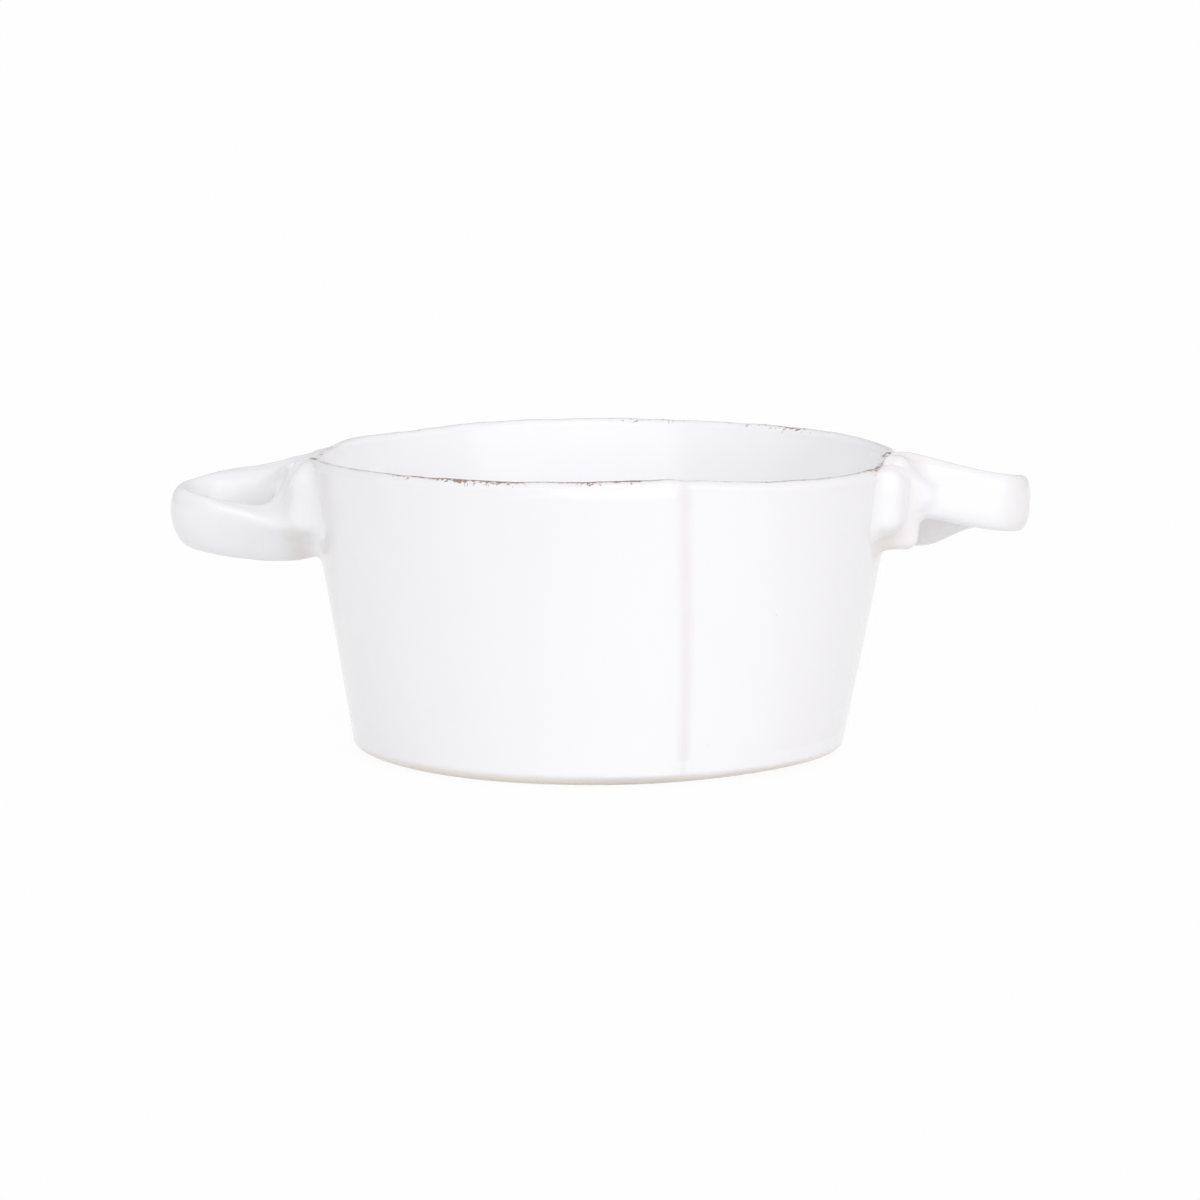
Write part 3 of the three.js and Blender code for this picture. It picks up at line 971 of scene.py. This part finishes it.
def white_glaze(name, tone, rim=False, foot=False, crevice_shade=False, warm=()):
    """Gloss white glaze on clay, bare and brown on a worn rim, cream at a foot, with painted shade on its
    sides, under the rim's crest, along the lap and in deep corners, and painted light inside the bowl and
    inside a loop.
    """
    material = bpy.data.materials.new(name)
    material.use_nodes = True
    tree = material.node_tree
    shader = tree.nodes["Principled BSDF"]
    place = Wire(tree.nodes.new("ShaderNodeTexCoord").outputs["Object"])
    height = place.axis("Z")

    def stored(layer):
        return place.node("ShaderNodeAttribute", {"attribute_name": layer}, {}, "Fac")

    cloud = place.noise(17.0, 2.0)
    darker, lighter = colour(tone - 1, tone - 1, tone), colour(tone + 1, tone + 1, tone + 2)
    shade = tint(cloud.fade(0.3, 0.7), darker, lighter)
    speck = place.noise(300.0, 1.0).fade(0.82, 0.86)
    shade = tint(speck * 0.35, shade, colour(*SPECK))
    # Painted shade, darker and warmer, on sides where the light falls off.
    for start, full, share in warm:
        shade = tint(place.axis("X").fade(start, full) * share, shade, colour(*SIDE_SHADE))
    gloss = GLAZE_ROUGHNESS + cloud * 0.06
    if foot:
        thin = (height + (place.noise(160.0, 2.0) - 0.5) * 0.0016).fade(*FOOT_GLAZE_HEIGHTS)
        shade = tint(thin, shade, colour(*FOOT_GLAZE))
        gloss = gloss + thin * 0.12
    if crevice_shade:
        # Painted light inside the loop and on the wall under the pad, then brownish painted shade in the
        # corner and under the far arm.
        shade = tint(stored("inner") * 0.3, shade, colour(*INNER_LIGHT))
        painted_shade = stored("crevice_shade") * (0.5 + place.noise(240.0, 2.0))
        shade = tint(painted_shade, shade, colour(*CREVICE_SHADE))
    if rim:
        # Painted shade on the rim's upper rounding, painted light inside the bowl, and painted shade with
        # thinner glaze along the lap.
        shade = tint(height.fade(*RIM_SHADE_HEIGHTS) * 0.6, shade, colour(*RIM_SHADE))
        shade = tint(stored("inside"), shade, colour(*INSIDE_LIGHT))
        shade = tint(stored("lap") * (0.2 + place.noise(120.0, 2.0) * 0.35), shade, colour(*LAP_THIN_GLAZE_AND_SHADE))
        grain = place.noise(1000.0, 2.0, 0.6)
        patch = place.noise(60.0, 2.0)
        bare = (stored("wear") + (grain - 0.5) * 2.2 + (patch - 0.5) * 0.8).fade(0.36, 0.62)
        bare = bare * stored("wear").fade(0.03, 0.12)
        shade = tint(bare, shade, tint(grain, colour(*DARK_CLAY), colour(*PALE_CLAY)))
        gloss = gloss + bare * 0.45
    tree.links.new(shade.socket, shader.inputs["Base Color"])
    tree.links.new(gloss.socket, shader.inputs["Roughness"])
    swell = place.noise(110.0, 2.0) + place.noise(900.0, 2.0) * 0.05
    waves = {"Height": swell, "Strength": 0.12, "Distance": 0.0006}
    bump = swell.node("ShaderNodeBump", {}, waves, "Normal")
    tree.links.new(bump.socket, shader.inputs["Normal"])
    shader.inputs["IOR"].default_value = GLAZE_IOR
    return material


# Light, floor and camera

def pale_floor():
    """Wide pale floor a hair under the foot, white where the camera sees it, with the bowl's shadow."""
    mesh = bpy.data.meshes.new("pale_floor")
    reach, below = 40.0, -0.0003
    corners = [(-reach, -reach), (reach, -reach), (reach, reach), (-reach, reach)]
    mesh.from_pydata([(x, y, below) for x, y in corners], [], [(0, 1, 2, 3)])
    floor = bpy.data.objects.new("pale_floor", mesh)
    bpy.context.scene.collection.objects.link(floor)
    material = bpy.data.materials.new("pale_paper")
    material.use_nodes = True
    tree = material.node_tree
    shader = tree.nodes["Principled BSDF"]
    shader.inputs["Base Color"].default_value = PAPER
    shader.inputs["Roughness"].default_value = 1.0
    shader.inputs["Specular IOR Level"].default_value = 0.0
    path = tree.nodes.new("ShaderNodeLightPath").outputs
    seen = Wire(path["Is Camera Ray"]).most(Wire(path["Is Glossy Ray"]))
    seen = seen.most(Wire(path["Is Transmission Ray"]))
    white = seen.node("ShaderNodeEmission", {}, {"Color": (1.0, 1.0, 1.0, 1.0), "Strength": 1.0})
    both = {"Fac": seen * PAPER_WHITE, 1: Wire(shader.outputs[0]), 2: white}
    paper = seen.node("ShaderNodeMixShader", {}, both)
    tree.links.new(paper.socket, tree.nodes["Material Output"].inputs["Surface"])
    mesh.materials.append(material)


def direction_to(azimuth, elevation):
    """Unit vector to a side counted from the front and a height, in degrees."""
    side, height = math.radians(azimuth), math.radians(elevation)
    level = math.cos(height)
    return np.array([math.sin(side) * level, -math.cos(side) * level, math.sin(height)])


def aim(item, start, target):
    """Puts a lamp or camera at one point and turns it to another."""
    direction = np.array(target) - np.array(start)
    item.location = start
    azimuth = math.atan2(-direction[0], direction[1])
    elevation = math.atan2(direction[2], math.hypot(direction[0], direction[1]))
    item.rotation_euler = (0.5 * math.pi + elevation, 0.0, azimuth)


def sun(name, energy, width, azimuth, elevation, shade=(1.0, 1.0, 1.0)):
    """Lamp as wide as an angle, from a side counted from the front and a height, in degrees."""
    lamp = bpy.data.lights.new(name, "SUN")
    lamp.energy = energy
    lamp.angle = math.radians(width)
    lamp.color = shade
    item = bpy.data.objects.new(name, lamp)
    bpy.context.scene.collection.objects.link(item)
    aim(item, direction_to(azimuth, elevation), (0.0, 0.0, 0.0))
    return item


def studio_light():
    """Wide soft light from the front, weak reflectors round it, and a small lamp for the glints."""
    world = bpy.data.worlds.new("studio")
    world.use_nodes = True
    world.node_tree.nodes["Background"].inputs["Color"].default_value = WORLD_LIGHT
    bpy.context.scene.world = world
    cool, warm = (1.0, 1.0, 1.02), (1.16, 0.94, 0.92)
    sun("wide_softbox", energy=1.38, width=88.0, azimuth=14.0, elevation=17.0, shade=cool)
    for fill in (
        sun("right_reflector", energy=0.15, width=60.0, azimuth=60.0, elevation=20.0, shade=warm),
        sun("left_reflector", energy=0.22, width=30.0, azimuth=-65.0, elevation=10.0),
        sun("back_softbox", energy=0.2, width=60.0, azimuth=180.0, elevation=50.0),
    ):
        fill.visible_glossy = False
    sun("small_lamp", energy=0.1, width=12.0, azimuth=12.0, elevation=60.0)


def photo_camera():
    """Camera at the photograph's viewing angle, with its focal length in pixels of the photograph."""
    focal_pixels, photo_pixels, sensor = 5980.0, 1200.0, 36.0
    camera = bpy.data.cameras.new("photo_camera")
    camera.sensor_width = sensor
    camera.lens = focal_pixels / photo_pixels * sensor
    camera.clip_end = 200.0
    item = bpy.data.objects.new("photo_camera", camera)
    bpy.context.scene.collection.objects.link(item)
    target, distance = np.array([-0.00025, 0.0, 0.03725]), 1.5
    back = direction_to(azimuth=2.5, elevation=7.75)
    aim(item, target + distance * back, target)
    bpy.context.scene.camera = item


# The dressed bowl

# The glazes of handles and coils are lighter and darker copies of one white, toned for how light falls on
# each: painted light and shade.
wall_glaze = white_glaze("wall_glaze", tone=244, rim=True, foot=True, warm=WALL_SIDE_SHADE)
floor_glaze = white_glaze("floor_glaze", tone=244, foot=True)
coil_glaze = white_glaze("coil_glaze", tone=245)
right_coil_lit_glaze = white_glaze("right_coil_lit_glaze", tone=249, crevice_shade=True, warm=RIGHT_COIL_SIDE_SHADE)
left_coil_shaded_glaze = white_glaze("left_coil_shaded_glaze", tone=243, crevice_shade=True)
right_handle_shaded_glaze = white_glaze("right_handle_shaded_glaze", tone=242, crevice_shade=True, warm=RIGHT_HANDLE_SIDE_SHADE)
left_handle_shaded_glaze = white_glaze("left_handle_shaded_glaze", tone=239, crevice_shade=True)

finishes = {
    "wall_slab": wall_glaze,
    "floor_disc": floor_glaze,
    "floor_corner_coil": coil_glaze,
    "right_handle": right_handle_shaded_glaze,
    "right_front_handle_coil": right_coil_lit_glaze,
    "right_rear_handle_coil": right_coil_lit_glaze,
    "left_handle": left_handle_shaded_glaze,
    "left_front_handle_coil": left_coil_shaded_glaze,
    "left_rear_handle_coil": left_coil_shaded_glaze,
}

pieces = {"wall_slab": wall_piece(), "floor_disc": floor_piece(), "floor_corner_coil": corner_coil_piece()}
pieces.update(handle_pieces("right", RIGHT_HANDLE))
pieces.update(handle_pieces("left", LEFT_HANDLE))
for node, piece in pieces.items():
    piece.data.materials.append(finishes[node])
    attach(piece, "root")
    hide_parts(node)
    "thin_glaze" if node == "floor_disc" else "white_glaze"

pale_floor()
studio_light()
photo_camera()
bpy.context.scene.view_settings.view_transform = "Standard"
